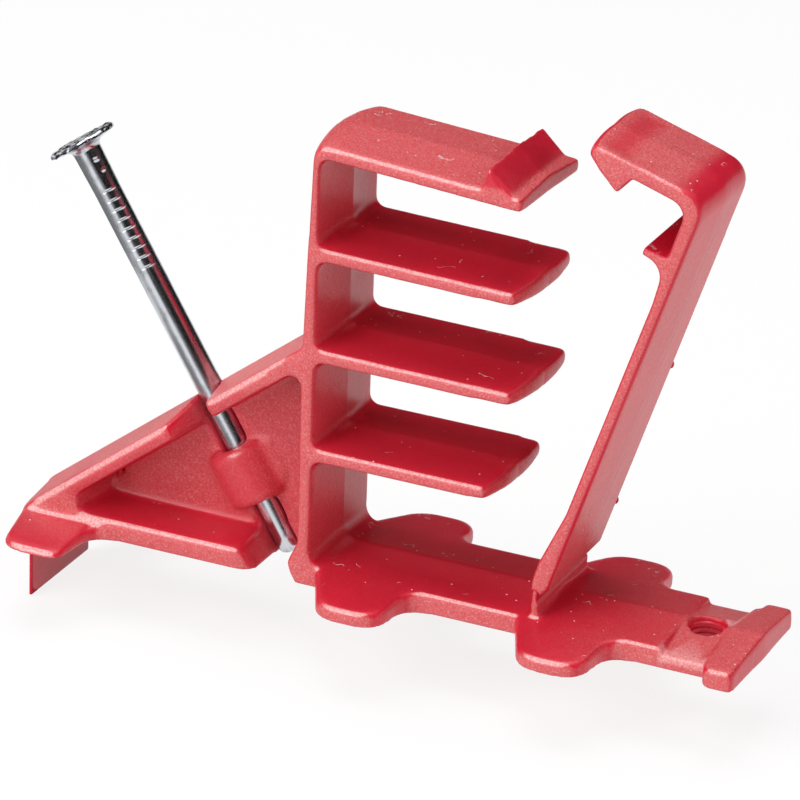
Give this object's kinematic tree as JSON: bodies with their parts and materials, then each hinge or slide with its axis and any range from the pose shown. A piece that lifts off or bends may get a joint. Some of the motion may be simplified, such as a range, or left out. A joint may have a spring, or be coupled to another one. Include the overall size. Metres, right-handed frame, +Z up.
{
  "type": "insulated cable staple",
  "caption": "Red plastic stacker for flat house cables: shelves on a spine, a hinged closing strap, a break-off screw tab and a slanted nail.",
  "frame": {"origin": "on the mounting face, below the inner face of the spine, on the parting plane", "axes": "+Z up from the mounting face, +X from the nail towards the screw tab, +Y across the moulding, away from the side that the picture shows"},
  "size_m": [0.0767, 0.0258, 0.0594],
  "materials": {
    "red_plastic": "satin, with a fine spark texture",
    "zinc_steel": "bright zinc"
  },
  "bodies": {
    "staple": {"moulded_body": "red_plastic"},
    "strap": {"closing_strap": "red_plastic"},
    "driven_nail": {"nail": "zinc_steel"}
  },
  "joints": [
    {"name": "strap_hinge", "type": "hinge", "parent": "staple", "child": "strap", "pos_m": [0.0237, 0, 0.0047], "axis": [0, 1, 0], "range_deg": [-15.2, 30], "stiffness_Nm_per_rad": 0.05},
    {"name": "nail_slide", "type": "slide", "parent": "staple", "child": "driven_nail", "axis": [0.5284, 0, -0.849], "range_m": [0, 0.0253]}
  ]
}
